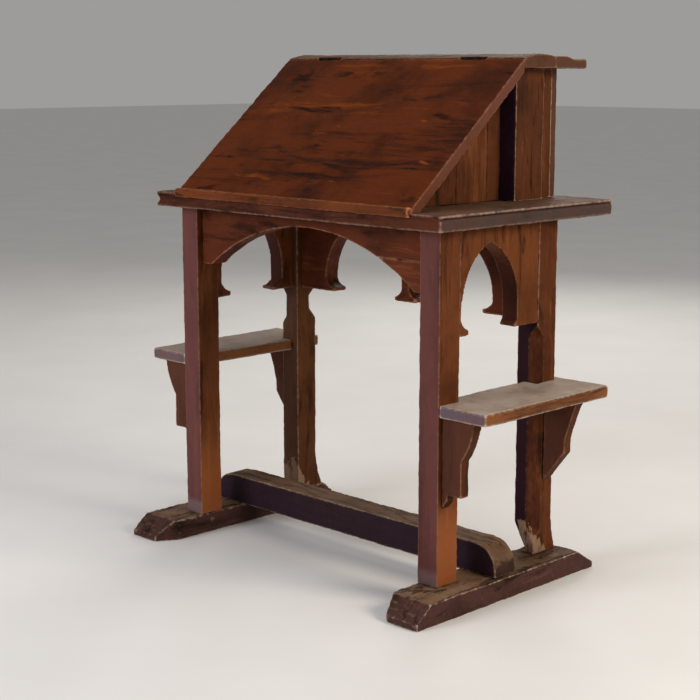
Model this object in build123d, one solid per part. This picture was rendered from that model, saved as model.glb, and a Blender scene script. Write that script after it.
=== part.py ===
from build123d import *
import math
import os

# Standing lectern desk in oak, all sizes in millimetres.
# +X is the sitter's right, +Y is away from the sitter, +Z is up.
# The origin is on the floor, in the middle of the overall width and depth.

# ---- Driving dimensions -------------------------------------------------
TABLE_WIDTH = 800
TABLE_DEPTH = 510
TABLE_THICK = 30
TABLE_TOP = 740
TABLE_FRONT = -220

POST_X = 49
POST_Y = 56
POST_OUTER = 365
FRONT_POST_FRONT = -180
BACK_POST_BACK = 162

SLED_WIDTH = 100
SLED_OUTER = 416
SLED_HEIGHT = 42
SLED_FRONT = -290
SLED_BACK = 235
SLED_NOSE = 12
SLED_FRONT_CANT = 37
SLED_BACK_CANT = 46

STRETCHER_FRONT = -61
STRETCHER_DEPTH = 61
STRETCHER_HEIGHT = 62
STRETCHER_HALF = 406
STRETCHER_ROUND = 50

ARCH_THICK = 38
ARCH_FOOT = 510
ARCH_RECESS = 14
SPANDREL_TOP = 647
SPANDREL_INNER = 150

SHELF_OUTER = 475
SHELF_INNER = 334
SHELF_FRONT = -179
SHELF_BACK = 189
SHELF_TOP = 390
SHELF_THICK = 23

BRACKET_THICK = 22

LID_HALF = 328
LID_THICK = 21
CREASE_Y = 98
CREASE_Z = 1014
LID_TOE_Y = -216
LID_TOE_Z = 748
LID_GAP = 0.5

CAP_THICK = 20
CAP_BACK = 192
CAP_BACK_TOP = 1017
CROWN_Y = 142
CROWN_TOP = 1021.5
LEDGE_BACK = 290
LEDGE_LOW = 1011

PANEL_OUTER = 262
PANEL_THICK = 16
STILE_OUTER = 299
STILE_X = 52
STILE_FRONT = 108
STILE_DEPTH = 86
REAR_POST_DEPTH = 40
BACK_BOARD_THICK = 18
REAR_POST_OUTER = 286
REAR_POST_X = 39

PEG_RADIUS = 4
PEG_INSET = 11
PEG_HEIGHTS = (590, 640)
TENON_TOP = 680
TENON_FOOT = 560
TENON_LENGTH = 20
TENON_HALF = 6
FIT = 0.1

# ---- Derived places -----------------------------------------------------
TABLE_BACK = TABLE_FRONT + TABLE_DEPTH
TABLE_UNDER = TABLE_TOP - TABLE_THICK
POST_INNER = POST_OUTER - POST_X
FRONT_POST_BACK = FRONT_POST_FRONT + POST_Y
BACK_POST_FRONT = BACK_POST_BACK - POST_Y
SLED_INNER = SLED_OUTER - SLED_WIDTH
SHELF_UNDER = SHELF_TOP - SHELF_THICK
CAP_UNDER = CREASE_Z - CAP_THICK
SIDE_ARCH_OUTER = POST_OUTER - 1
SIDE_ARCH_INNER = SIDE_ARCH_OUTER - ARCH_THICK
FRONT_APRON_FRONT = FRONT_POST_FRONT + ARCH_RECESS + 1
BACK_APRON_FRONT = BACK_POST_FRONT + ARCH_RECESS

LID_RISE = CREASE_Z - LID_TOE_Z
LID_RUN = CREASE_Y - LID_TOE_Y
SLOPE = math.atan2(LID_RISE, LID_RUN)


# ---- Small helpers ------------------------------------------------------
def block(x0, x1, y0, y1, z0, z1):
    """A rectangular board between two corners."""
    size = Box(x1 - x0, y1 - y0, z1 - z0)
    return Pos((x0 + x1) / 2, (y0 + y1) / 2, (z0 + z1) / 2) * size


def rod(start, end, radius):
    """A round peg, nail or dowel from one point to another."""
    axis = Vector(*end) - Vector(*start)
    plane = Plane(origin=start, z_dir=axis)
    return extrude(plane * Circle(radius), axis.length)


def side_slab(outline, x0, x1):
    """A board that fills an outline in the side view, from x0 to x1."""
    return Pos(x0, 0, 0) * extrude(Plane.YZ * outline, x1 - x0, dir=(1, 0, 0))


def front_slab(outline, y0, y1):
    """A board that fills an outline in the front view, from y0 to y1."""
    return Pos(0, y0, 0) * extrude(Plane.XZ * outline, y1 - y0, dir=(0, 1, 0))


def plan_slab(outline, z0, z1):
    """A board that fills an outline in the top view, from z0 to z1."""
    return Pos(0, 0, z0) * extrude(outline, z1 - z0, dir=(0, 0, 1))


def corners(points):
    """A straight-sided outline."""
    return Polygon(*points, align=None)


def drill(solid, rods):
    """Cuts the holes for some rods, with a small clearance."""
    for start, end, radius in rods:
        solid = solid - rod(start, end, radius + FIT)
    return solid


def rod_group(rods):
    """Loose rods that share one node."""
    return Compound(children=[rod(*r) for r in rods])


def screw(head, direction, length, radius):
    """A countersunk wood screw whose flat head lies at the point head."""
    plane = Plane(origin=head, z_dir=direction)
    cone = Cone(radius * 2, radius, radius, align=(Align.CENTER, Align.CENTER, Align.MIN))
    shank = Cylinder(radius, length, align=(Align.CENTER, Align.CENTER, Align.MIN))
    slot = Box(radius * 5, radius * 0.4, radius * 0.6)
    return plane * (cone + shank - slot)


def screw_hole(head, direction, length, radius):
    """The countersunk hole that a screw sits in."""
    plane = Plane(origin=head, z_dir=direction)
    low = (Align.CENTER, Align.CENTER, Align.MIN)
    cone = Cone(radius * 2 + FIT, radius + FIT, radius, align=low)
    return plane * (cone + Cylinder(radius + FIT, length, align=low))


def drive(solid, screws):
    """Cuts the holes for some screws."""
    for s in screws:
        solid = solid - screw_hole(*s)
    return solid


def screw_group(screws):
    """Loose screws that share one node."""
    return Compound(children=[screw(*s) for s in screws])


def mirrored(solid):
    """The left-hand copy of a right-hand piece."""
    return mirror(solid, about=Plane.YZ)


def mirror_rods(rods):
    """Rods for the right side, followed by their left-hand copies."""
    flipped = [((-a[0], a[1], a[2]), (-b[0], b[1], b[2]), r) for a, b, r in rods]
    return rods + flipped


nodes = {}

# ---- Pegs and dowels, placed for the right side and mirrored ---------------
POST_FRONTS = (FRONT_POST_FRONT, BACK_POST_FRONT)
POST_MID_X = POST_OUTER - POST_X / 2

foot_pegs = mirror_rods([
    ((SLED_INNER, y + POST_Y / 2, 28), (POST_MID_X + 20, y + POST_Y / 2, 28), PEG_RADIUS)
    for y in POST_FRONTS
])
top_dowels = mirror_rods([
    ((POST_MID_X, y + POST_Y / 2, TENON_TOP + 4), (POST_MID_X, y + POST_Y / 2, TABLE_UNDER + 18), 7)
    for y in POST_FRONTS
])
stretcher_dowels = mirror_rods([
    ((POST_MID_X + 15, STRETCHER_FRONT + d, 14), (POST_MID_X + 15, STRETCHER_FRONT + d, 74), 7)
    for d in (17, STRETCHER_DEPTH - 17)
])
FRONT_TENON_Y = FRONT_APRON_FRONT + ARCH_THICK / 2
BACK_TENON_Y = BACK_APRON_FRONT + ARCH_THICK / 2
front_apron_peg = ((POST_INNER + PEG_INSET, FRONT_POST_BACK, TENON_TOP - 15),
                   (POST_INNER + PEG_INSET, FRONT_TENON_Y - 14, TENON_TOP - 15), PEG_RADIUS)
back_apron_pegs = [
    ((POST_INNER + PEG_INSET, BACK_POST_BACK, z),
     (POST_INNER + PEG_INSET, BACK_TENON_Y - 14, z), PEG_RADIUS)
    for z in PEG_HEIGHTS
]
apron_pegs = mirror_rods([front_apron_peg] + back_apron_pegs)
arch_pegs = mirror_rods([
    ((POST_INNER, y, z), (POST_OUTER - 8, y, z), PEG_RADIUS)
    for y in (FRONT_POST_BACK - PEG_INSET - 1, BACK_POST_FRONT + PEG_INSET + 1)
    for z in PEG_HEIGHTS
])


# ---- Base -----------------------------------------------------------------
def sled():
    """Right sled foot: canted ends, inner corners sawn off, post mortises."""
    outline = [
        (SLED_FRONT, 0), (SLED_BACK, 0), (SLED_BACK, SLED_NOSE),
        (SLED_BACK - SLED_BACK_CANT, SLED_HEIGHT),
        (SLED_FRONT + SLED_FRONT_CANT, SLED_HEIGHT), (SLED_FRONT, SLED_NOSE),
    ]
    body = side_slab(corners(outline), SLED_INNER, SLED_OUTER)
    for end, inward in ((SLED_FRONT, 1), (SLED_BACK, -1)):
        corner = corners([(SLED_INNER - 1, end - inward), (SLED_INNER + 25, end - inward),
                          (SLED_INNER - 1, end + inward * 48)])
        body = body - plan_slab(corner, 0, SLED_HEIGHT)
    return drill(body, stretcher_dowels)


def stopped_chamfer(corner, inward, depth, z0, z1, stop):
    """Cutter that takes off one arris between z0 and z1, with sloping stops."""
    diagonal = Vector(inward[0], inward[1], 0).normalized()
    plane = Plane(origin=(corner[0], corner[1], 0), x_dir=diagonal, z_dir=diagonal.cross(Vector(0, 0, 1)))
    outline = Polygon(
        (-5, z0 - stop * 5 / depth), (depth, z0 + stop), (depth, z1 - stop),
        (-5, z1 + stop * 5 / depth), align=None)
    return extrude(plane * outline, POST_Y, both=True)


def post(front):
    """Right-hand post on the floor tenon that fits the sled."""
    body = block(POST_INNER, POST_OUTER, front, front + POST_Y, SLED_HEIGHT, TABLE_UNDER)
    tenon = block(POST_MID_X - 13, POST_MID_X + 13, front + 11, front + POST_Y - 11, 14, SLED_HEIGHT)
    return body + tenon


def heel(height, reach):
    """Spur that widens a back post towards its foot."""
    outline = [
        (BACK_POST_BACK, SLED_HEIGHT), (BACK_POST_BACK + reach, SLED_HEIGHT),
        (BACK_POST_BACK + reach * 0.35, SLED_HEIGHT + height * 0.4),
        (BACK_POST_BACK, SLED_HEIGHT + height),
    ]
    return side_slab(corners(outline), POST_INNER, POST_OUTER)


def hewn_corner():
    """Wedge taken off the inner front corner of a foot, down to the sled."""
    top = Vector(POST_INNER, BACK_POST_FRONT, SLED_HEIGHT + 62)
    outer = Vector(POST_OUTER - 6, BACK_POST_FRONT, SLED_HEIGHT)
    rear = Vector(POST_INNER, BACK_POST_FRONT + 34, SLED_HEIGHT)
    normal = (outer - top).cross(rear - top)
    plane = Plane(origin=top, z_dir=normal * -1)
    wedge = extrude(plane * Rectangle(300, 300), 120)
    return wedge & block(POST_INNER - 5, POST_OUTER, 60, 170, SLED_HEIGHT, 120)


def front_post():
    return post(FRONT_POST_FRONT)


def back_right_post():
    """Broad stopped chamfer on the outer front arris, hewn foot."""
    body = post(BACK_POST_FRONT) + heel(80, 14)
    corner = (POST_OUTER, BACK_POST_FRONT)
    body = body - stopped_chamfer(corner, (-1, 1), 15, 66, ARCH_FOOT - 4, 26)
    return body - hewn_corner()


def back_left_post():
    """Right-hand form of the left post: short chamfers under the arches."""
    body = post(BACK_POST_FRONT) + heel(80, 20)
    outer = (POST_OUTER, BACK_POST_FRONT)
    inner = (POST_INNER, BACK_POST_BACK)
    body = body - stopped_chamfer(outer, (-1, 1), 9, 424, ARCH_FOOT - 2, 16)
    return body - stopped_chamfer(inner, (1, -1), 15, 436, ARCH_FOOT - 2, 20)


def stretcher():
    """Rail lying across both sleds, its top rounded down to the sleds at both ends."""
    top = SLED_HEIGHT + STRETCHER_HEIGHT
    low = top - STRETCHER_ROUND
    half = STRETCHER_HALF
    flat = half - STRETCHER_ROUND
    line = Polyline((-half, low), (-half, SLED_HEIGHT), (half, SLED_HEIGHT), (half, low))
    right = TangentArc((flat, top), (half, low), tangent=(1, 0))
    left = TangentArc((-flat, top), (-half, low), tangent=(-1, 0))
    outline = make_face(line + right + Line(right @ 0, left @ 0) + left)
    return front_slab(outline, STRETCHER_FRONT, STRETCHER_FRONT + STRETCHER_DEPTH)


# ---- Arch boards ------------------------------------------------------------
def pointed_arch(left, right, spring, radius, foot):
    """Opening of two arcs that meet in a point, open down to the feet."""
    half = (right - left) / 2
    middle = (left + right) / 2
    rise = math.sqrt(radius ** 2 - (radius - half) ** 2)
    turn = math.asin(rise / radius) / 2
    dip = radius * (1 - math.cos(turn))
    lift = radius * math.sin(turn)
    apex = (middle, spring + rise)
    left_arc = ThreePointArc((left, spring), (left + dip, spring + lift), apex)
    right_arc = ThreePointArc(apex, (right - dip, spring + lift), (right, spring))
    below = Polyline((right, spring), (right, foot - 10), (left, foot - 10), (left, spring))
    return make_face(left_arc + right_arc + below)


def cusp(edge, side, reach, height):
    """Flared foot of a lobe, with a blunt tip above the flat underside."""
    top = ARCH_FOOT + height
    tip = ARCH_FOOT + height * 0.36
    curve = ThreePointArc((edge, top), (edge + side * reach * 0.36, ARCH_FOOT + height * 0.6),
                          (edge + side * reach, tip))
    rest = Polyline((edge + side * reach, tip), (edge + side * reach * 0.94, ARCH_FOOT),
                    (edge - side * 3, ARCH_FOOT), (edge - side * 3, top), (edge, top))
    return make_face(curve + rest)


def side_arch(front_edge, back_edge, front_cusp, back_cusp):
    """Right side board: one pointed arch between two cusped lobes, tenoned."""
    board = corners([(FRONT_POST_BACK, ARCH_FOOT), (BACK_POST_FRONT, ARCH_FOOT),
                     (BACK_POST_FRONT, TABLE_UNDER), (FRONT_POST_BACK, TABLE_UNDER)])
    opening = pointed_arch(front_edge, back_edge, 560, (back_edge - front_edge) * 0.79, ARCH_FOOT)
    outline = board - opening + cusp(front_edge, 1, *front_cusp) + cusp(back_edge, -1, *back_cusp)
    body = side_slab(outline, SIDE_ARCH_INNER, SIDE_ARCH_OUTER)
    middle = (SIDE_ARCH_INNER + SIDE_ARCH_OUTER) / 2
    for face, end in ((FRONT_POST_BACK, -28), (BACK_POST_FRONT, 28)):
        body = body + block(middle - TENON_HALF, middle + TENON_HALF, *sorted((face, face + end)),
                            TENON_FOOT, TENON_TOP)
    return body


def front_apron():
    """Front board with one low round arch and a gap for the let-in spandrel."""
    half = 287
    crown = 687
    shoulder = 590
    radius = (half ** 2 + (crown - shoulder) ** 2) / (2 * (crown - shoulder))
    board = block(-POST_INNER, POST_INNER, FRONT_APRON_FRONT, FRONT_APRON_FRONT + ARCH_THICK,
                  shoulder, TABLE_UNDER)
    arch = rod((0, FRONT_APRON_FRONT - 1, crown - radius),
               (0, FRONT_APRON_FRONT + ARCH_THICK + 1, crown - radius), radius)
    body = board - arch
    for side in (-1, 1):
        ends = sorted((side * POST_INNER, side * (POST_INNER + TENON_LENGTH)))
        body = body + block(*ends, FRONT_TENON_Y - TENON_HALF, FRONT_TENON_Y + TENON_HALF,
                            SPANDREL_TOP + 3, TENON_TOP)
    return body


def back_apron():
    """Back board: two round-pointed arches, flared feet, a pendant between."""
    lobe = 237
    pendant = 11
    board = corners([(-POST_INNER, ARCH_FOOT), (POST_INNER, ARCH_FOOT),
                     (POST_INNER, TABLE_UNDER), (-POST_INNER, TABLE_UNDER)])
    for side in (-1, 1):
        edges = sorted((side * pendant, side * lobe))
        board = board - pointed_arch(edges[0], edges[1], 542, 122, ARCH_FOOT)
        board = board + cusp(side * lobe, -side, 26, 24) + cusp(side * pendant, side, 20, 24)
    body = front_slab(board, BACK_APRON_FRONT, BACK_APRON_FRONT + ARCH_THICK)
    for side in (-1, 1):
        ends = sorted((side * POST_INNER, side * (POST_INNER + TENON_LENGTH)))
        body = body + block(*ends, BACK_TENON_Y - TENON_HALF, BACK_TENON_Y + TENON_HALF,
                            TENON_FOOT, TENON_TOP)
    return body


# ---- Side shelves -----------------------------------------------------------
def shelf():
    """Right shelf, notched round both posts."""
    board = block(SHELF_INNER, SHELF_OUTER, SHELF_FRONT, SHELF_BACK, SHELF_UNDER, SHELF_TOP)
    for front in POST_FRONTS:
        notch = block(SHELF_INNER, POST_OUTER, front, front + POST_Y, SHELF_UNDER, SHELF_TOP)
        board = board - notch
    return board


def front_bracket(front):
    """Console with a hollow edge, a square foot and a small tail."""
    hollow = ThreePointArc((441, SHELF_UNDER - 8), (431, 325), (412, 292))
    rest = Polyline((412, 292), (412, 223), (379, 223), (379, 212), (POST_OUTER, 192),
                    (POST_OUTER, SHELF_UNDER), (443, SHELF_UNDER), (441, SHELF_UNDER - 8))
    return front_slab(make_face(hollow + rest), front, front + BRACKET_THICK)


def back_bracket(front):
    """Console whose lower corner is cut away in one slope."""
    hollow = ThreePointArc((445, SHELF_UNDER - 8), (430, 320), (418, 282))
    rest = Polyline((418, 282), (417, 256), (374, 200), (POST_OUTER, 190),
                    (POST_OUTER, SHELF_UNDER), (447, SHELF_UNDER), (445, SHELF_UNDER - 8))
    return front_slab(make_face(hollow + rest), front, front + BRACKET_THICK)


FRONT_BRACKET_Y = FRONT_POST_FRONT + 10
BACK_BRACKET_Y = BACK_POST_FRONT + 25
BRACKET_MIDS = (FRONT_BRACKET_Y + BRACKET_THICK / 2, BACK_BRACKET_Y + BRACKET_THICK / 2)
bracket_dowels = mirror_rods([
    ((POST_OUTER - 22, y, z), (POST_OUTER + 24, y, z), 5)
    for y in BRACKET_MIDS
    for z in (250, 318)
])
shelf_pegs = mirror_rods([
    ((x, y, SHELF_TOP - 8), (x, y, SHELF_UNDER - 30), PEG_RADIUS)
    for y in BRACKET_MIDS
    for x in (390, 422)
])


# ---- Table ------------------------------------------------------------------
def table_top():
    """Table board, with a quirk along the right end and a V groove in the left end."""
    end = TABLE_WIDTH / 2
    board = block(-end, end, TABLE_FRONT, TABLE_BACK, TABLE_UNDER, TABLE_TOP)
    groove = [(-end - 1, TABLE_UNDER + 3), (-end - 1, TABLE_TOP - 5), (-end + 14, TABLE_UNDER + 14)]
    board = board - front_slab(corners(groove), TABLE_FRONT - 1, TABLE_BACK + 1)
    quirk = [(end + 1, TABLE_TOP - 4), (end - 6, TABLE_TOP - 7), (end + 1, TABLE_TOP - 11)]
    return board - front_slab(corners(quirk), TABLE_FRONT - 1, TABLE_BACK + 1)


BATTEN_X = (200, 240)
BATTEN_BACK = TABLE_BACK - 40
BATTEN_FRONT = FRONT_APRON_FRONT + ARCH_THICK
BATTEN_THICK = 20
table_screws = [
    ((side * 220, y, TABLE_UNDER - BATTEN_THICK), (0, 0, 1), 38, 2.5)
    for side in (-1, 1) for y in (-105, -70, 0, 70, 185, 225)
]


def table_batten():
    """Right batten that keeps the table board flat from below."""
    return block(*BATTEN_X, BATTEN_FRONT, BATTEN_BACK, TABLE_UNDER - BATTEN_THICK, TABLE_UNDER)


# ---- Box on the table ---------------------------------------------------------
def under_lid(y):
    """Height of the lid's underside at y."""
    return CREASE_Z - (CREASE_Y - y) * math.tan(SLOPE) - LID_THICK / math.cos(SLOPE)


BACK_JOIN = STILE_FRONT + STILE_DEPTH
BACK_BOARD_FRONT = BACK_JOIN + REAR_POST_DEPTH
BACK_BOARD_BACK = BACK_BOARD_FRONT + BACK_BOARD_THICK
PLANK_SEAMS = (-170, -20, 70, STILE_FRONT)
PANEL_INNER = PANEL_OUTER - PANEL_THICK
CLEAT = 14


def side_plank(y0, y1):
    """Right side plank between two seams, its top planed to the lid's slope."""
    shoulder = min(y1, CREASE_Y)
    outline = [(y0, TABLE_TOP), (y1, TABLE_TOP), (y1, min(under_lid(y1), CAP_UNDER))]
    if y1 > CREASE_Y:
        outline = outline[:2] + [(y1, CAP_UNDER), (CREASE_Y, CAP_UNDER)]
    outline += [(shoulder, under_lid(shoulder)), (y0, under_lid(y0))]
    points = list(dict.fromkeys(outline))
    return side_slab(corners(points), PANEL_INNER, PANEL_OUTER)


def box_cleat():
    """Small batten on the table inside the box, which the planks are nailed to."""
    return block(PANEL_INNER - CLEAT, PANEL_INNER, -150, STILE_FRONT, TABLE_TOP, TABLE_TOP + CLEAT)


def box_stile():
    """Right rear upright of the box."""
    x0 = STILE_OUTER - STILE_X
    return block(x0, STILE_OUTER, STILE_FRONT, STILE_FRONT + STILE_DEPTH, TABLE_TOP, CAP_UNDER)


def box_rear_post():
    """Right upright behind the stile, set in a little from it."""
    x0 = REAR_POST_OUTER - REAR_POST_X
    return block(x0, REAR_POST_OUTER, BACK_JOIN, BACK_BOARD_FRONT, TABLE_TOP, CAP_UNDER)


def box_back():
    """Back board, nailed through the rear posts into the stiles."""
    return block(-REAR_POST_OUTER, REAR_POST_OUTER, BACK_BOARD_FRONT, BACK_BOARD_BACK,
                 TABLE_TOP, CAP_UNDER)


def cap_board():
    """Board behind the lid, its top slightly crowned."""
    crown = ThreePointArc((CREASE_Y, CREASE_Z), (CROWN_Y, CROWN_TOP), (CAP_BACK, CAP_BACK_TOP))
    rest = Polyline((CAP_BACK, CAP_BACK_TOP), (CAP_BACK, CAP_UNDER), (CREASE_Y, CAP_UNDER),
                    (CREASE_Y, CREASE_Z))
    return side_slab(make_face(crown + rest), -LID_HALF, LID_HALF)


def ledge_board():
    """Board behind the cap, stepped down towards its back edge."""
    outline = [(CAP_BACK, CAP_UNDER), (LEDGE_BACK, CAP_UNDER), (LEDGE_BACK, LEDGE_LOW),
               (CAP_BACK + 59, LEDGE_LOW), (CAP_BACK + 38, CAP_BACK_TOP), (CAP_BACK, CAP_BACK_TOP)]
    return side_slab(corners(outline), -LID_HALF, LID_HALF)


STILE_MID = STILE_OUTER - STILE_X / 2
REAR_POST_MID = REAR_POST_OUTER - REAR_POST_X / 2
stile_dowels = mirror_rods([
    ((STILE_MID, y, TABLE_TOP - 18), (STILE_MID, y, TABLE_TOP + 30), 6)
    for y in (STILE_FRONT + 20, STILE_FRONT + 48)
])
cap_pegs = mirror_rods([
    ((STILE_MID, y, CAP_UNDER + 12), (STILE_MID, y, CAP_UNDER - 35), PEG_RADIUS)
    for y in (STILE_FRONT + 20, STILE_FRONT + 48)
])
ledge_pegs = [
    ((x, BACK_BOARD_FRONT + 9, CAP_UNDER + 12), (x, BACK_BOARD_FRONT + 9, CAP_UNDER - 30), PEG_RADIUS)
    for x in (-240, -80, 80, 240)
]
back_nails = mirror_rods([
    ((REAR_POST_MID, BACK_BOARD_BACK, z), (REAR_POST_MID, BACK_JOIN - 25, z), 2.5)
    for z in (765, 840, 895, 965)
])
plank_nails = mirror_rods([
    ((PANEL_INNER - CLEAT, y, TABLE_TOP + 7), (PANEL_OUTER - 5, y, TABLE_TOP + 7), 1.5)
    for y in (-135, -60, 0, 50, 90)
])


# ---- Lid ----------------------------------------------------------------------
def on_lid(along, under=0):
    """Side-view point of the lid, from the crease down the slope and inwards."""
    y = CREASE_Y - along * math.cos(SLOPE) + under * math.sin(SLOPE)
    z = CREASE_Z - along * math.sin(SLOPE) - under * math.cos(SLOPE)
    return (y, z)


def lid_board():
    """The sloping board, its upper edge upright against the cap."""
    edge = CREASE_Y - LID_GAP
    top = CREASE_Z - LID_GAP * math.tan(SLOPE)
    toe_y = CREASE_Y - (CREASE_Z - LID_THICK / math.cos(SLOPE) - TABLE_TOP) / math.tan(SLOPE)
    outline = [(edge, top), (edge, under_lid(edge)), (toe_y, TABLE_TOP),
               (LID_TOE_Y, TABLE_TOP), (LID_TOE_Y, LID_TOE_Z)]
    return side_slab(corners(outline), -LID_HALF, LID_HALF)


LID_BATTEN_X = (160, 200)
LID_BATTEN_THICK = 16


def lid_batten():
    """Right batten under the lid."""
    deep = LID_THICK + LID_BATTEN_THICK
    outline = [on_lid(32, LID_THICK), on_lid(40, deep), on_lid(350, deep), on_lid(358, LID_THICK)]
    return side_slab(corners(outline), *LID_BATTEN_X)


def lid_screws():
    """Screws from the battens up into the lid."""
    deep = LID_THICK + LID_BATTEN_THICK
    up = (0, -math.sin(SLOPE), math.cos(SLOPE))
    return [
        ((side * 180, *on_lid(along, deep)), up, 30, 2)
        for side in (-1, 1) for along in (60, 120, 170, 245, 295, 340)
    ]


STOP_FRONT = LID_TOE_Y - 13
STOP_LIP = 3
STOP_TOP = LID_TOE_Z + STOP_LIP


def book_stop():
    """Moulding along the lid's lower edge; its lip is square to the slope and laps over the table."""
    low = TABLE_TOP - 7
    clear = TABLE_FRONT - 0.6
    nose = ThreePointArc((STOP_FRONT + 3, low), (STOP_FRONT, (low + STOP_TOP) / 2),
                         (STOP_FRONT + 4, STOP_TOP))
    lip = LID_TOE_Y - STOP_LIP * math.tan(SLOPE)
    rest = Polyline((STOP_FRONT + 4, STOP_TOP), (lip, STOP_TOP), (LID_TOE_Y, LID_TOE_Z),
                    (LID_TOE_Y, TABLE_TOP + 0.4), (clear, TABLE_TOP + 0.4), (clear, low),
                    (STOP_FRONT + 3, low))
    return side_slab(make_face(nose + rest), -LID_HALF, LID_HALF)


stop_pins = [
    ((x, STOP_FRONT + 1, TABLE_TOP + 4), (x, LID_TOE_Y + 12, TABLE_TOP + 4), 1.2)
    for x in range(-300, 301, 120)
]

# ---- Hinges -------------------------------------------------------------------
HINGE_X = 200
HINGE_LENGTH = 64
HINGE_BARREL = 2.6
HINGE_PIN = 1.1
LEAF_THICK = 1.4
CAP_LEAF_DROP = 18
LID_LEAF_DROP = 25
CAP_SCREW_DROP = 12
LID_SCREW_DROP = 19
KNUCKLE = 24
PLAY = 0.3
AXIS_Y = CREASE_Y - LID_GAP / 2


def barrel(x0, x1, radius):
    return rod((x0, AXIS_Y, CREASE_Z), (x1, AXIS_Y, CREASE_Z), radius)


def hinge_cap_leaf(x):
    """Leaf let into the cap's edge, with the two outer knuckles."""
    half = HINGE_LENGTH / 2
    leaf = block(x - half, x + half, CREASE_Y, CREASE_Y + LEAF_THICK, CREASE_Z - CAP_LEAF_DROP, CREASE_Z)
    leaf = leaf - barrel(x - KNUCKLE / 2 - PLAY, x + KNUCKLE / 2 + PLAY, HINGE_BARREL + PLAY)
    for side in (-1, 1):
        ends = sorted((x + side * (KNUCKLE / 2 + PLAY), x + side * half))
        leaf = leaf + barrel(*ends, HINGE_BARREL)
    return leaf - barrel(x - half, x + half, HINGE_PIN)


def hinge_lid_leaf(x):
    """Leaf let into the lid's edge, with the middle knuckle."""
    half = HINGE_LENGTH / 2
    edge = CREASE_Y - LID_GAP
    leaf = block(x - half, x + half, edge - LEAF_THICK, edge, CREASE_Z - LID_LEAF_DROP, CREASE_Z - 1)
    for side in (-1, 1):
        ends = sorted((x + side * (KNUCKLE / 2), x + side * (half + 1)))
        leaf = leaf - barrel(*ends, HINGE_BARREL + PLAY)
    leaf = leaf + barrel(x - KNUCKLE / 2, x + KNUCKLE / 2, HINGE_BARREL)
    return leaf - barrel(x - half, x + half, HINGE_PIN + PLAY)


def hinge_seat(x):
    """Room for a barrel in the top corners of the cap and the lid."""
    half = HINGE_LENGTH / 2
    return barrel(x - half - 1, x + half + 1, HINGE_BARREL + 0.5)


cap_screws = [
    ((x + d, CREASE_Y, CREASE_Z - CAP_SCREW_DROP), (0, 1, 0), 18, 1.6)
    for x in (-HINGE_X, HINGE_X) for d in (-22, 0, 22)
]
lid_leaf_screws = [
    ((x + d, CREASE_Y - LID_GAP, CREASE_Z - LID_SCREW_DROP), (0, -1, 0), 14, 1.6)
    for x in (-HINGE_X, HINGE_X) for d in (-22, 0, 22)
]

# ---- Putting the base together ---------------------------------------------
right_arch = side_arch(-118, 43, (21, 30), (7, 16))
left_arch = side_arch(-105, 70, (26, 30), (28, 20))
front_board = front_apron()
back_board_arch = back_apron()
front_bracket_right = front_bracket(FRONT_BRACKET_Y)
back_bracket_right = back_bracket(BACK_BRACKET_Y)

# The spandrel piece is let into the right-hand end of the front apron.
spandrel_zone = block(SPANDREL_INNER, POST_INNER, FRONT_APRON_FRONT, FRONT_APRON_FRONT + ARCH_THICK,
                      ARCH_FOOT, SPANDREL_TOP)
spandrel = front_board & spandrel_zone
front_board = front_board - spandrel_zone
spandrel_dowels = [
    ((x, FRONT_TENON_Y, SPANDREL_TOP - 18), (x, FRONT_TENON_Y, SPANDREL_TOP + 18), 5)
    for x in (255, 295)
]
nodes["front_apron"] = drill(drill(front_board, apron_pegs), spandrel_dowels)
nodes["front_right_spandrel"] = drill(spandrel, spandrel_dowels)

for side_batten in (table_batten(), mirrored(table_batten())):
    back_board_arch = back_board_arch - side_batten
nodes["back_apron"] = drill(back_board_arch, apron_pegs)

posts = {
    "front_right_post": (front_post(), right_arch),
    "back_right_post": (back_right_post(), right_arch),
    "front_left_post": (mirrored(front_post()), mirrored(left_arch)),
    "back_left_post": (mirrored(back_left_post()), mirrored(left_arch)),
}
post_holes = foot_pegs + top_dowels + apron_pegs + arch_pegs + bracket_dowels
for name, (body, arch) in posts.items():
    body = body - arch - nodes["front_apron"] - nodes["back_apron"]
    nodes[name] = drill(body, post_holes)

nodes["right_side_arch"] = drill(right_arch, arch_pegs)
nodes["left_side_arch"] = drill(mirrored(left_arch), arch_pegs)

right_feet = posts["front_right_post"][0] + posts["back_right_post"][0]
left_feet = posts["front_left_post"][0] + posts["back_left_post"][0]
nodes["right_sled_foot"] = drill(sled() - right_feet, foot_pegs)
nodes["left_sled_foot"] = drill(mirrored(sled()) - left_feet, foot_pegs)
nodes["foot_stretcher"] = drill(stretcher(), stretcher_dowels)
nodes["thick_dowels"] = rod_group(top_dowels + stretcher_dowels)
nodes["thin_dowels"] = rod_group(bracket_dowels + spandrel_dowels)
nodes["draw_pegs"] = rod_group(foot_pegs + apron_pegs + arch_pegs)

# ---- Shelves and brackets ------------------------------------------------------
nodes["right_shelf"] = drill(shelf(), shelf_pegs)
nodes["left_shelf"] = drill(mirrored(shelf()), shelf_pegs)
bracket_holes = bracket_dowels + shelf_pegs
for name, bracket in (("front", front_bracket_right), ("back", back_bracket_right)):
    nodes[name + "_right_bracket"] = drill(bracket, bracket_holes)
    nodes[name + "_left_bracket"] = drill(mirrored(bracket), bracket_holes)
nodes["shelf_pegs"] = rod_group(shelf_pegs)

# ---- Table ----------------------------------------------------------------------
nodes["table_top"] = drill(drive(table_top(), table_screws), top_dowels + stile_dowels)
nodes["right_table_batten"] = drive(table_batten(), table_screws)
nodes["left_table_batten"] = drive(mirrored(table_batten()), table_screws)
nodes["table_screws"] = screw_group(table_screws)

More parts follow.
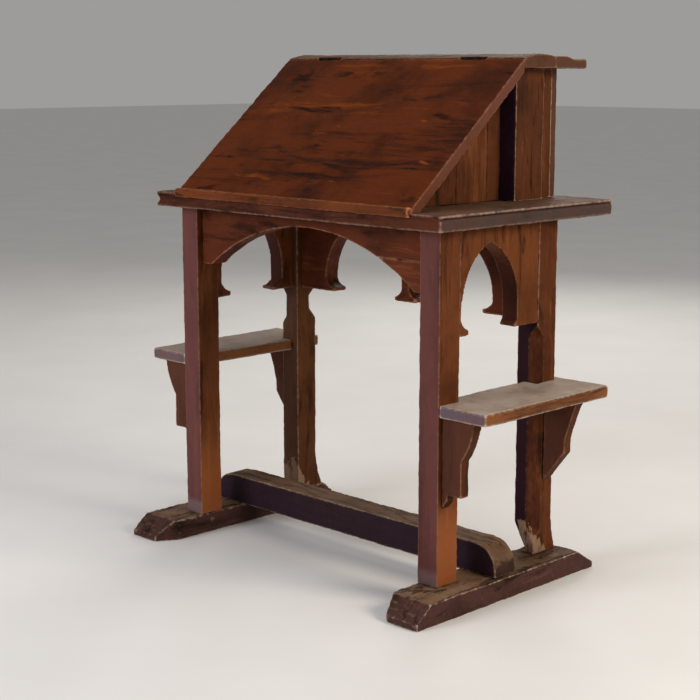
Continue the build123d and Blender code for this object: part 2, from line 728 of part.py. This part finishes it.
# ---- Box ------------------------------------------------------------------------
for i, name in enumerate(("front", "middle", "rear")):
    plank = side_plank(PLANK_SEAMS[i], PLANK_SEAMS[i + 1])
    nodes["box_right_" + name + "_plank"] = drill(plank, plank_nails)
    nodes["box_left_" + name + "_plank"] = drill(mirrored(plank), plank_nails)
nodes["box_right_cleat"] = drill(box_cleat(), plank_nails)
nodes["box_left_cleat"] = drill(mirrored(box_cleat()), plank_nails)
stile_holes = stile_dowels + cap_pegs + back_nails
nodes["box_right_stile"] = drill(box_stile(), stile_holes)
nodes["box_left_stile"] = drill(mirrored(box_stile()), stile_holes)
nodes["box_right_rear_post"] = drill(box_rear_post(), back_nails)
nodes["box_left_rear_post"] = drill(mirrored(box_rear_post()), back_nails)
nodes["box_back_board"] = drill(box_back(), back_nails + ledge_pegs)
nodes["box_dowels_and_pegs"] = rod_group(stile_dowels + cap_pegs + ledge_pegs)
nodes["box_nails"] = rod_group(back_nails + plank_nails)

cap = drill(cap_board(), cap_pegs)
lid = lid_board()
for x in (-HINGE_X, HINGE_X):
    x0 = x - HINGE_LENGTH / 2
    x1 = x + HINGE_LENGTH / 2
    cap = cap - hinge_seat(x)
    cap = cap - block(x0, x1, CREASE_Y, CREASE_Y + LEAF_THICK, CREASE_Z - CAP_LEAF_DROP, CREASE_Z)
    lid = lid - hinge_seat(x)
    lid = lid - block(x0, x1, CREASE_Y - LID_GAP - LEAF_THICK, CREASE_Y,
                      CREASE_Z - LID_LEAF_DROP, CREASE_Z)
nodes["cap_board"] = drive(cap, cap_screws)
nodes["rear_ledge_board"] = drill(ledge_board(), ledge_pegs)

# ---- Lid and hinges ----------------------------------------------------------------
nodes["lid_board"] = drill(drive(lid, lid_screws() + lid_leaf_screws), stop_pins)
nodes["lid_right_batten"] = drive(lid_batten(), lid_screws())
nodes["lid_left_batten"] = drive(mirrored(lid_batten()), lid_screws())
nodes["lid_screws"] = screw_group(lid_screws())
nodes["book_stop"] = drill(book_stop(), stop_pins)
nodes["book_stop_pins"] = rod_group(stop_pins)
for name, x in (("left", -HINGE_X), ("right", HINGE_X)):
    nodes[name + "_hinge_cap_leaf"] = drive(hinge_cap_leaf(x), cap_screws)
    nodes[name + "_hinge_lid_leaf"] = drive(hinge_lid_leaf(x), lid_leaf_screws)
nodes["hinge_pins"] = Compound(children=[
    barrel(x - HINGE_LENGTH / 2, x + HINGE_LENGTH / 2, HINGE_PIN) for x in (-HINGE_X, HINGE_X)
])
nodes["hinge_cap_screws"] = screw_group(cap_screws)
nodes["hinge_lid_screws"] = screw_group(lid_leaf_screws)

# ---- One file for each node -----------------------------------------------------
os.makedirs("parts", exist_ok=True)
for name, shape in nodes.items():
    export_step(shape, "parts/" + name + ".step")
print(len(nodes), "nodes")
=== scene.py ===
import math
import random

import bpy
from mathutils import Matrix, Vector

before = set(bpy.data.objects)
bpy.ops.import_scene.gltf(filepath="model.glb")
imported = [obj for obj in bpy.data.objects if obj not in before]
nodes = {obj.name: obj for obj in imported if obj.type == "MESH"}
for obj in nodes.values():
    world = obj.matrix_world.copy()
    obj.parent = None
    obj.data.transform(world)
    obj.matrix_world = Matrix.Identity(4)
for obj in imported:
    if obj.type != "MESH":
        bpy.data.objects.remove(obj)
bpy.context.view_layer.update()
random.seed(7)

# ---- Shape: worn, slightly uneven boards (metres) -------------------------------
VOXEL = 0.0026
BOARD_WELD = 0.00005
SMALL_WELD = 0.00002
SMALL_BEVEL = 0.0003
BEVEL_FROM = math.radians(40)

WAVE_SIZE = 0.045
NICK_SIZE = 0.011
WAVE_HEIGHT = 0.0035
NICK_HEIGHT = 0.0016
ROUGHER_WAVES = {"right_sled_foot": 0.006, "left_sled_foot": 0.006}
ROUGHER_NICKS = {"right_sled_foot": 0.004, "left_sled_foot": 0.004, "foot_stretcher": 0.0022}
EVENED = ("lid_board", "foot_stretcher")
EVEN_STEPS = 4

METAL_WORDS = ("screws", "nails", "pins", "hinge")
PEG_WORDS = ("pegs", "dowels")


def has_word(name, words):
    return any(word in name for word in words)


def clouds(name, size, depth):
    texture = bpy.data.textures.new(name, "CLOUDS")
    texture.noise_scale = size
    texture.noise_depth = depth
    texture.noise_basis = "ORIGINAL_PERLIN"
    return texture


hand_planed = clouds("hand_planed", WAVE_SIZE, 2)
nicked = clouds("nicked", NICK_SIZE, 1)


def push_surface(piece, label, texture, height):
    """Moves the surface in and out about where it was."""
    push = piece.modifiers.new(label, "DISPLACE")
    push.texture = texture
    push.texture_coords = "LOCAL"
    push.strength = height
    push.mid_level = 0.5


def wear_board(name):
    """Evenly meshed board with planing waves and small nicks."""
    piece = nodes[name]
    piece.modifiers.new("weld", "WELD").merge_threshold = BOARD_WELD
    remesh = piece.modifiers.new("even_mesh", "REMESH")
    remesh.mode = "VOXEL"
    remesh.voxel_size = VOXEL
    remesh.use_smooth_shade = True
    if name in EVENED:
        even = piece.modifiers.new("even_out", "SMOOTH")
        even.factor = 0.5
        even.iterations = EVEN_STEPS
    push_surface(piece, "planed", hand_planed, ROUGHER_WAVES.get(name, WAVE_HEIGHT))
    push_surface(piece, "nicks", nicked, ROUGHER_NICKS.get(name, NICK_HEIGHT))
    return piece


def soften(name):
    """Small hardware that keeps its shape, with a fine bevel."""
    piece = nodes[name]
    piece.modifiers.new("weld", "WELD").merge_threshold = SMALL_WELD
    bevel = piece.modifiers.new("edge", "BEVEL")
    bevel.width = SMALL_BEVEL
    bevel.segments = 2
    bevel.limit_method = "ANGLE"
    bevel.angle_limit = BEVEL_FROM
    return piece


# ---- A short way to write a material's node tree --------------------------------
class Tree:
    def __init__(self, name):
        self.material = bpy.data.materials.new(name)
        self.material.use_nodes = True
        self.nodes = self.material.node_tree.nodes
        self.links = self.material.node_tree.links
        self.nodes.clear()
        self.shader = self.nodes.new("ShaderNodeBsdfPrincipled")
        output = self.nodes.new("ShaderNodeOutputMaterial")
        self.links.new(self.shader.outputs["BSDF"], output.inputs["Surface"])

    def feed(self, socket, value):
        if isinstance(value, bpy.types.NodeSocket):
            self.links.new(value, socket)
        else:
            socket.default_value = value

    def surface(self, **values):
        """Feeds the shader's inputs, with _ for each space in a name."""
        for name, value in values.items():
            self.feed(self.shader.inputs[name.replace("_", " ")], value)

    def add(self, kind, inputs, **settings):
        node = self.nodes.new("ShaderNode" + kind)
        for key, value in settings.items():
            setattr(node, key, value)
        for key, value in inputs.items():
            self.feed(node.inputs[key], value)
        return node

    def noise(self, place, scale, detail=3, rough=0.55, twist=0.0):
        made = self.add("TexNoise", {"Vector": place, "Scale": scale, "Detail": detail,
                                     "Roughness": rough, "Distortion": twist})
        return made.outputs["Fac"]

    def stretch(self, place, scale, shift=(0, 0, 0), turn=(0, 0, 0)):
        made = self.add("Mapping", {"Vector": place, "Location": shift,
                                    "Rotation": turn, "Scale": scale})
        return made.outputs["Vector"]

    def split(self, vector):
        return self.add("SeparateXYZ", {"Vector": vector}).outputs

    def span(self, value, low, high, to_low=0.0, to_high=1.0):
        """Smooth step from low to high, which may also run downwards."""
        made = self.add("MapRange", {"Value": value, "From Min": low, "From Max": high,
                                     "To Min": to_low, "To Max": to_high},
                        interpolation_type="SMOOTHSTEP")
        return made.outputs["Result"]

    def work_out(self, operation, a, b=0.0):
        return self.add("Math", {0: a, 1: b}, operation=operation).outputs[0]

    def plus(self, a, b):
        return self.work_out("ADD", a, b)

    def minus(self, a, b):
        return self.work_out("SUBTRACT", a, b)

    def times(self, a, b):
        return self.work_out("MULTIPLY", a, b)

    def size(self, a):
        return self.work_out("ABSOLUTE", a)

    def mix(self, amount, a, b):
        made = self.add("Mix", {0: amount, 6: a, 7: b}, data_type="RGBA", blend_type="MIX")
        return made.outputs[2]

    def ramp(self, value, stops):
        made = self.add("ValToRGB", {"Fac": value})
        band = made.color_ramp
        while len(band.elements) < len(stops):
            band.elements.new(0.5)
        for element, (at, colour) in zip(band.elements, stops):
            element.position = at
            element.color = colour
        return made.outputs["Color"]

    def bump(self, height, strength, distance):
        made = self.add("Bump", {"Height": height, "Strength": strength, "Distance": distance})
        self.surface(Normal=made.outputs["Normal"])


def srgb(red, green, blue):
    """Linear colour from 0-255 display values."""
    out = []
    for value in (red, green, blue):
        c = value / 255
        out.append(c / 12.92 if c <= 0.04045 else ((c + 0.055) / 1.055) ** 2.4)
    return (*out, 1)


# ---- Wood -------------------------------------------------------------------------
GRAIN_TURN = {"X": (0, 0, 0), "Y": (0, 0, math.pi / 2), "Z": (0, math.pi / 2, 0)}
SHIFT = 3

# How much each noise field is squeezed along the grain and twice across it.
WARP_FIELD = (2.2, 6, 6)
BROAD_FIELD = (1.6, 7, 7)
FIGURE_FIELD = (4, 52, 52)
FIBRE_FIELD = (14, 330, 330)
STREAK_FIELD = (7, 30, 30)
CRACK_FIELD = (2.4, 19, 19)
SPLINTER_FIELD = (60, 60, 26)
BLOTCH_SCALE = 9.0
PATCH_SCALE = 13.0
EDGE_BREAK_SCALE = 38.0
WARP_SIDEWAYS = 0.012
WARP_DEEP = 0.010

# Ranges of a noise field, or of the mesh's pointiness, that a mark fades over.
WARPED = (0.2, 0.8)
STREAKED = (0.56, 0.70)
FLECKED = (0.36, 0.27)
STAINED = (0.42, 0.72)
PATCHED = (0.30, 0.62)
SPLINTERED = (0.36, 0.54)
# Pointiness ranges for the pale edges, partly wear and partly painted highlight, and for painted shade
# in hollows.
ARRIS = (0.515, 0.575)
ARRIS_BROKEN = (0.28, 0.52)
HOLLOW = (0.485, 0.42)
HOLLOW_SHADE = 0.75
CRACK_WIDTH = (0.026, 0.006)
PORE = (0.62, 0.70)

# Ranges of a face's direction that a mark fades over.
TO_THE_FRONT = (-0.55, -0.95)
NOT_TO_THE_FRONT = (-0.75, -0.35)
TO_AN_END = (0.70, 0.92)
UPWARDS = (0.55, 0.9)
PALE_TOP_FADE = 0.25

# Heights above the floor, in metres.
WARM_HEIGHT = (0.26, 0.10)
SCUFF_HEIGHT = (0.080, 0.062)
SCUFF_AMOUNT = 0.6
LINE_WIDTH = (0.0030, 0.0012)
LINE_AMOUNT = 0.9

# The splintered foot lies below a plane that slopes from the front face to the back.
SPLINTER_PLANE = 0.169
SPLINTER_SLOPE = 0.6
SPLINTER_FADE = (-0.002, 0.003)
SPLINTER_RAGGED = 0.012

BUMP_DISTANCE = 0.0012
DUST_ROUGHER = 0.18


class Wood(Tree):
    """Old oiled oak, painted layer by layer from the bare figure to the pale arrises, which are partly
    wear and partly painted highlight; some layers are painted light and shade.
    """

    def __init__(self, name, grain, look):
        super().__init__(name)
        self.look = look
        coords = self.add("TexCoord", {})
        self.place = coords.outputs["Object"]
        self.facing = self.split(coords.outputs["Normal"])
        self.at = self.split(self.place)
        self.point = self.add("NewGeometry", {}).outputs["Pointiness"]
        shift = tuple(random.uniform(-SHIFT, SHIFT) for _ in range(3))
        self.bent = self.bend(self.stretch(self.place, (1, 1, 1), shift, grain))
        self.broad = self.along_grain(BROAD_FIELD, 3, 0.55)
        self.figure = self.along_grain(FIGURE_FIELD, 5, 0.62, 0.25)
        self.fibre = self.along_grain(FIBRE_FIELD, 3, 0.6)
        self.streak = self.along_grain(STREAK_FIELD, 4, 0.6, 0.4, (5, 2, 1))
        self.blotch = self.noise(self.place, BLOTCH_SCALE, 4, 0.6)
        self.crack = None

    def bend(self, along):
        """Lets the grain wander a little."""
        warp = self.noise(self.stretch(along, WARP_FIELD), 1.0, 3, 0.6)
        sideways = self.span(warp, *WARPED, -WARP_SIDEWAYS, WARP_SIDEWAYS)
        deep = self.span(warp, *WARPED, -WARP_DEEP, WARP_DEEP)
        offset = self.add("CombineXYZ", {"X": 0.0, "Y": sideways, "Z": deep}).outputs[0]
        return self.add("VectorMath", {0: along, 1: offset}, operation="ADD").outputs[0]

    def along_grain(self, field, detail, rough, twist=0.0, shift=(0, 0, 0)):
        return self.noise(self.stretch(self.bent, field, shift), 1.0, detail, rough, twist)

    def paint(self, mask, amount, tint):
        """Mixes one of the look's colours into the wood."""
        self.colour = self.mix(self.times(mask, amount), self.colour, self.look[tint])

    def bare_wood(self):
        look = self.look
        tone = self.plus(self.times(self.broad, 0.45), self.times(self.figure, 0.40))
        tone = self.plus(tone, self.times(self.fibre, 0.15))
        self.colour = self.ramp(tone, [(0.37, look["dark"]), (0.475, look["mid"]),
                                       (0.555, look["mid"]), (0.67, look["light"])])
        self.paint(self.span(self.streak, *STREAKED), look["streaks"], "dark")
        self.paint(self.span(self.streak, *FLECKED), look["flecks"], "light")
        self.paint(self.span(self.blotch, *STAINED), look["stain"], "dark")

    def painted_front_shade(self):
        """Painted shade and light: faces towards the sitter get a cooler, pinker or darker colour for
        how light falls on them.
        """
        uneven = self.span(self.broad, 0.25, 0.6, 0.55, 1.0)
        front = self.times(self.span(self.facing["Y"], *TO_THE_FRONT), uneven)
        # Painted shade and light on faces towards the sitter.
        self.paint(front, self.look["bleach"], "bleached")

    def end_grain(self, axis):
        """The duller ends of a board."""
        uneven = self.span(self.blotch, 0.25, 0.6, 0.6, 1.0)
        self.ends = self.times(self.span(self.size(self.facing[axis]), *TO_AN_END), uneven)
        self.paint(self.ends, self.look["ends"], "end")

    def painted_quirk_shade(self):
        """Painted shade: a dark line along the table's ends, where the quirk's groove lies in shade."""
        from_line = self.size(self.minus(self.at["Z"], self.look["line_at"]))
        # Painted shade of the quirk's groove.
        self.paint(self.times(self.span(from_line, *LINE_WIDTH), self.ends), LINE_AMOUNT, "dark")

    def dust(self):
        """Paler patches on whatever faces up: dust, and painted light from above."""
        look = self.look
        patches = self.span(self.noise(self.place, PATCH_SCALE, 5, 0.65), *PATCHED, look["patchy"], 1.0)
        level = self.span(self.facing["Z"], look["dust_from"], look["dust_from"] + PALE_TOP_FADE)
        self.dusty = self.times(level, patches)
        # Paler tone on upward faces: dust and painted light from above.
        self.paint(self.dusty, look["dust"], "dusty")

    def cracks(self):
        """Drying cracks along the grain of an upper face."""
        split = self.along_grain(CRACK_FIELD, 4, 0.6, 0.35, (1, 4, 2))
        crack = self.span(self.size(self.minus(split, 0.5)), *CRACK_WIDTH)
        self.crack = self.times(crack, self.span(self.facing["Z"], *UPWARDS))
        self.paint(self.crack, self.look["cracks"], "dark")

    def front_post_foot(self):
        """Foot of a front post: bright at the sides, scuffed in front."""
        sides = self.span(self.facing["Y"], *NOT_TO_THE_FRONT)
        self.paint(self.times(sides, self.span(self.at["Z"], *WARM_HEIGHT)),
                   self.look["warm_foot"], "warm")
        uneven = self.span(self.broad, 0.2, 0.6, 0.4, 1.0)
        scuffed = self.times(self.span(self.at["Z"], *SCUFF_HEIGHT), uneven)
        scuffed = self.times(scuffed, self.span(self.facing["Y"], *TO_THE_FRONT))
        self.paint(scuffed, SCUFF_AMOUNT, "scuffed")

    def splintered_foot(self):
        """Foot of a rear post, where pale broken wood shows."""
        sloped = self.minus(SPLINTER_PLANE, self.times(self.at["Z"], SPLINTER_SLOPE))
        below = self.minus(sloped, self.at["Y"])
        ragged = self.noise(self.stretch(self.place, SPLINTER_FIELD), 1.0, 4, 0.65)
        below = self.plus(below, self.span(ragged, 0.3, 0.7, -SPLINTER_RAGGED, SPLINTER_RAGGED))
        pale = self.times(self.span(below, *SPLINTER_FADE), self.span(ragged, *SPLINTERED, 0.15, 1.0))
        self.paint(pale, self.look["broken"], "splinter")

    def arrises(self):
        """Pale arrises, partly wear and partly painted highlight, and painted shade in inner corners.
        """
        breaks = self.span(self.noise(self.place, EDGE_BREAK_SCALE, 3, 0.6), *ARRIS_BROKEN)
        # Pale edges: partly wear, partly painted highlight.
        self.paint(self.times(self.span(self.point, *ARRIS), breaks), self.look["wear"], "worn_lit_edge")
        # Painted shade in hollows and inner corners.
        self.paint(self.span(self.point, *HOLLOW), HOLLOW_SHADE, "dark")

    def finish(self):
        """Sheen and fine relief."""
        look = self.look
        sheen = self.span(self.figure, 0.3, 0.7, look["rough"] - 0.07, look["rough"] + 0.10)
        dull = self.plus(sheen, self.times(self.dusty, DUST_ROUGHER * look["dust"]))
        self.surface(Base_Color=self.colour, Roughness=dull, Specular_IOR_Level=look["gloss"])
        relief = self.plus(self.times(self.figure, 0.55), self.times(self.fibre, 0.35))
        relief = self.plus(relief, self.times(self.span(self.streak, *PORE), -0.35))
        if self.crack is not None:
            relief = self.plus(relief, self.times(self.crack, -1.2))
        self.bump(relief, look["relief"], BUMP_DISTANCE)


def end_axis(grain):
    """The way a board's ends face, or None for an upright board, whose ends aren't coloured."""
    if grain == GRAIN_TURN["Z"]:
        return None
    return "Y" if grain == GRAIN_TURN["Y"] else "X"


def wood(name, grain, look):
    t = Wood(name, grain, look)
    t.bare_wood()
    t.painted_front_shade()
    if look["ends"] > 0 and end_axis(grain):
        t.end_grain(end_axis(grain))
    t.dust()
    if look["cracks"] > 0:
        t.cracks()
    if look["line_at"] > 0:
        t.painted_quirk_shade()
    if look["warm_foot"] > 0:
        t.front_post_foot()
    if look["broken"] > 0:
        t.splintered_foot()
    t.arrises()
    t.finish()
    return t.material


TARNISH_SCALE = 160.0
GRIT_SCALE = 900.0
GRIT_RELIEF = 0.25
GRIT_DISTANCE = 0.0004


def metal(name, base, tarnish, rough):
    """Old metal with blotchy tarnish."""
    t = Tree(name)
    place = t.add("TexCoord", {}).outputs["Object"]
    cloud = t.noise(place, TARNISH_SCALE, 4, 0.6)
    grit = t.noise(place, GRIT_SCALE, 2, 0.5)
    t.surface(Base_Color=t.ramp(cloud, [(0.35, tarnish), (0.65, base)]), Metallic=1.0,
              Roughness=t.span(cloud, 0.3, 0.7, rough + 0.18, rough - 0.05))
    t.bump(grit, GRIT_RELIEF, GRIT_DISTANCE)
    return t.material


# ---- Looks --------------------------------------------------------------------------
# Amounts run from 0 to 1. The dust setting's level is how level a face must be to take dust and painted
# top light, and the line height is that of the quirk's painted shade line, or 0 for none.
COMMON = {
    "streaks": 0.80, "flecks": 0.55, "stain": 0.50, "wear": 0.85,
    "rough": 0.56, "gloss": 0.06, "relief": 0.7,
    # Dust and painted top light on upward faces.
    "dust": 0.0, "dusty": srgb(128, 112, 98), "patchy": 0.45, "dust_from": 0.70,
    # Painted shade and light on faces towards the sitter.
    "bleach": 0.0, "bleached": srgb(103, 64, 66),
    "ends": 0.0, "end": srgb(110, 74, 58),
    "cracks": 0.0, "line_at": 0.0,
    "broken": 0.0, "splinter": srgb(146, 116, 92),
    "warm_foot": 0.0, "warm": srgb(150, 86, 48), "scuffed": srgb(124, 108, 110),
}


def look(dark, mid, light, worn_lit_edge, **changes):
    """The common look with a wood's own colours and whatever else differs."""
    colours = {"dark": dark, "mid": mid, "light": light, "worn_lit_edge": worn_lit_edge}
    return {**COMMON, **{key: srgb(*value) for key, value in colours.items()}, **changes}


# Each look's colour for faces towards the sitter is painted shade and light; the right rear post's,
# stretcher's, stile's and arch's are darkest.
LOOKS = {
    "slope": look((36, 13, 5), (88, 38, 11), (130, 64, 16), (150, 104, 82),
                  streaks=0.95, flecks=0.85, stain=0.6, rough=0.5, gloss=0.05,
                  ends=0.85, end=srgb(100, 63, 50)),
    "stop": look((52, 24, 11), (110, 56, 26), (152, 86, 44), (178, 124, 88)),
    "table": look((34, 15, 9), (88, 45, 28), (122, 70, 50), (156, 128, 114),
                  dust=0.75, dusty=srgb(94, 74, 58), patchy=0.55,
                  ends=0.9, end=srgb(68, 57, 54), line_at=0.7345),
    "frame": look((50, 22, 8), (102, 56, 29), (140, 84, 42), (168, 122, 94),
                  wear=0.6, bleach=0.7, warm_foot=0.75),
    "arch": look((50, 22, 8), (102, 56, 27), (140, 84, 42), (172, 128, 98),
                 wear=0.6, bleach=0.9, bleached=srgb(58, 26, 22)),
    "right_rear": look((40, 18, 8), (90, 47, 22), (128, 74, 38), (180, 140, 112),
                       bleach=0.95, bleached=srgb(38, 17, 26), broken=0.85),
    "left_rear": look((44, 22, 9), (92, 54, 28), (128, 80, 42), (176, 140, 118),
                      bleach=0.5, bleached=srgb(94, 68, 56), broken=0.85),
    "apron": look((40, 16, 9), (90, 43, 23), (132, 72, 44), (172, 120, 92)),
    "box": look((34, 16, 8), (80, 43, 22), (116, 68, 38), (190, 160, 136),
                dust=0.5, dusty=srgb(112, 88, 68), ends=0.8, end=srgb(84, 58, 46)),
    "stile": look((34, 16, 8), (84, 46, 25), (120, 72, 42), (190, 160, 136),
                  bleach=0.9, bleached=srgb(54, 34, 52)),
    "cap": look((34, 16, 8), (80, 43, 22), (116, 68, 38), (158, 124, 102),
                wear=0.6, dust=0.5, dusty=srgb(112, 88, 68), ends=0.8, end=srgb(84, 58, 46)),
    "plank": look((38, 18, 9), (86, 46, 25), (122, 72, 42), (112, 78, 56), wear=0.35),
    "shelf": look((56, 30, 18), (126, 78, 46), (160, 106, 66), (206, 190, 172),
                  dust=1.0, dusty=srgb(158, 144, 130), patchy=0.6,
                  ends=0.9, end=srgb(100, 88, 98)),
    "bracket": look((40, 18, 8), (78, 42, 23), (112, 66, 38), (160, 114, 88),
                    bleach=0.6, bleached=srgb(98, 60, 48)),
    "sled": look((30, 18, 11), (76, 50, 44), (104, 74, 62), (190, 164, 146),
                 dust=0.9, dusty=srgb(132, 104, 80), patchy=0.30, dust_from=0.78,
                 cracks=0.75, relief=1.0),
    "stretcher": look((26, 16, 14), (60, 40, 34), (92, 66, 52), (180, 150, 128),
                      dust=0.95, dusty=srgb(118, 90, 68), patchy=0.6, dust_from=0.2,
                      bleach=0.95, bleached=srgb(44, 29, 39), cracks=0.5),
}
PEG_LOOK = dict(LOOKS["frame"], mid=srgb(74, 40, 24), wear=0.2)

# The first of these words that a piece's name holds gives its look.
LOOK_OF_WORD = {
    "book_stop": "stop", "lid_": "slope", "table_": "table",
    "cap_board": "cap", "ledge_board": "cap",
    "plank": "plank", "stile": "stile", "box_": "box",
    "back_right_post": "right_rear", "back_left_post": "left_rear", "post": "frame",
    "shelf": "shelf", "bracket": "bracket", "sled": "sled", "stretcher": "stretcher",
    "side_arch": "arch", "apron": "apron", "spandrel": "apron",
}


def look_of(name):
    return next(LOOKS[kind] for word, kind in LOOK_OF_WORD.items() if word in name)


LID_RISE = 0.265
LID_RUN = 0.314
LID_TURN = math.atan2(LID_RISE, LID_RUN)
UPRIGHT = ("post", "plank", "stile", "side_arch", "bracket")
FRONT_TO_BACK = ("shelf", "sled", "batten", "cleat")


def grain_of(name):
    """How far the grain is turned from running left to right."""
    if name.startswith("lid_"):
        return (-LID_TURN, 0, math.pi / 2 if name.endswith("batten") else 0)
    if has_word(name, UPRIGHT):
        return GRAIN_TURN["Z"]
    if has_word(name, FRONT_TO_BACK):
        return GRAIN_TURN["Y"]
    return GRAIN_TURN["X"]


def assign(piece, material):
    piece.data.materials.clear()
    piece.data.materials.append(material)


peg_wood = wood("peg_end_grain", GRAIN_TURN["Z"], PEG_LOOK)
iron = metal("dark_iron", srgb(66, 46, 36), srgb(34, 24, 20), 0.55)

for name in sorted(nodes):
    if has_word(name, PEG_WORDS):
        assign(soften(name), peg_wood)
    elif has_word(name, METAL_WORDS):
        assign(soften(name), iron)
    else:
        assign(wear_board(name), wood("wood_" + name, grain_of(name), look_of(name)))

# ---- Floor, light and camera ----------------------------------------------------------
FLOOR_SIZE = 60.0
FLOOR_DARK = (0.74, 0.73, 0.71, 1)
FLOOR_LIGHT = (0.78, 0.77, 0.75, 1)
LIGHT_AIM = Vector((0, 0, 0.5))
SKY_COLOUR = (0.80, 0.79, 0.78, 1)
SKY_STRENGTH = 0.42
CAMERA_PLACE = Vector((2.1820, -2.2257, 0.9973))
CAMERA_AIM = Vector((0.2741, -0.3170, 0.5000))
LENS = 79.1
SENSOR = 36


def pale_floor():
    bpy.ops.mesh.primitive_plane_add(size=FLOOR_SIZE, location=(0, 0, 0))
    floor = bpy.context.object
    floor.name = "floor"
    t = Tree("pale_floor")
    place = t.add("TexCoord", {}).outputs["Object"]
    colour = t.ramp(t.noise(place, 3.0, 4, 0.5), [(0.3, FLOOR_DARK), (0.7, FLOOR_LIGHT)])
    t.surface(Base_Color=colour, Roughness=0.9, Specular_IOR_Level=0.1)
    assign(floor, t.material)


def place_towards(name, data, place, aim):
    """A lamp or camera at a place, turned towards a point."""
    made = bpy.data.objects.new(name, data)
    bpy.context.scene.collection.objects.link(made)
    made.location = place
    made.rotation_euler = (aim - Vector(place)).to_track_quat("-Z", "Y").to_euler()
    return made


def area_light(name, place, size, power, colour):
    data = bpy.data.lights.new(name, "AREA")
    data.shape = "DISK"
    data.size = size
    data.energy = power
    data.color = colour
    place_towards(name, data, place, LIGHT_AIM)


def sky():
    world = bpy.data.worlds.new("studio")
    bpy.context.scene.world = world
    world.use_nodes = True
    background = world.node_tree.nodes["Background"]
    background.inputs["Color"].default_value = SKY_COLOUR
    background.inputs["Strength"].default_value = SKY_STRENGTH


def camera():
    data = bpy.data.cameras.new("camera")
    data.lens = LENS
    data.sensor_width = SENSOR
    bpy.context.scene.camera = place_towards("camera", data, CAMERA_PLACE, CAMERA_AIM)


pale_floor()
sky()
area_light("right_key", (3.2, 0.6, 2.1), 1.5, 80, (1.0, 0.90, 0.76))
area_light("front_fill", (-0.8, -3.4, 1.7), 1.6, 62, (0.90, 0.90, 1.0))
area_light("top", (0.2, 0.2, 3.4), 2.2, 20, (1.0, 0.97, 0.94))
area_light("back", (-1.8, 3.0, 2.2), 1.6, 35, (1.0, 0.95, 0.90))
camera()
bpy.context.scene.view_settings.view_transform = "Standard"
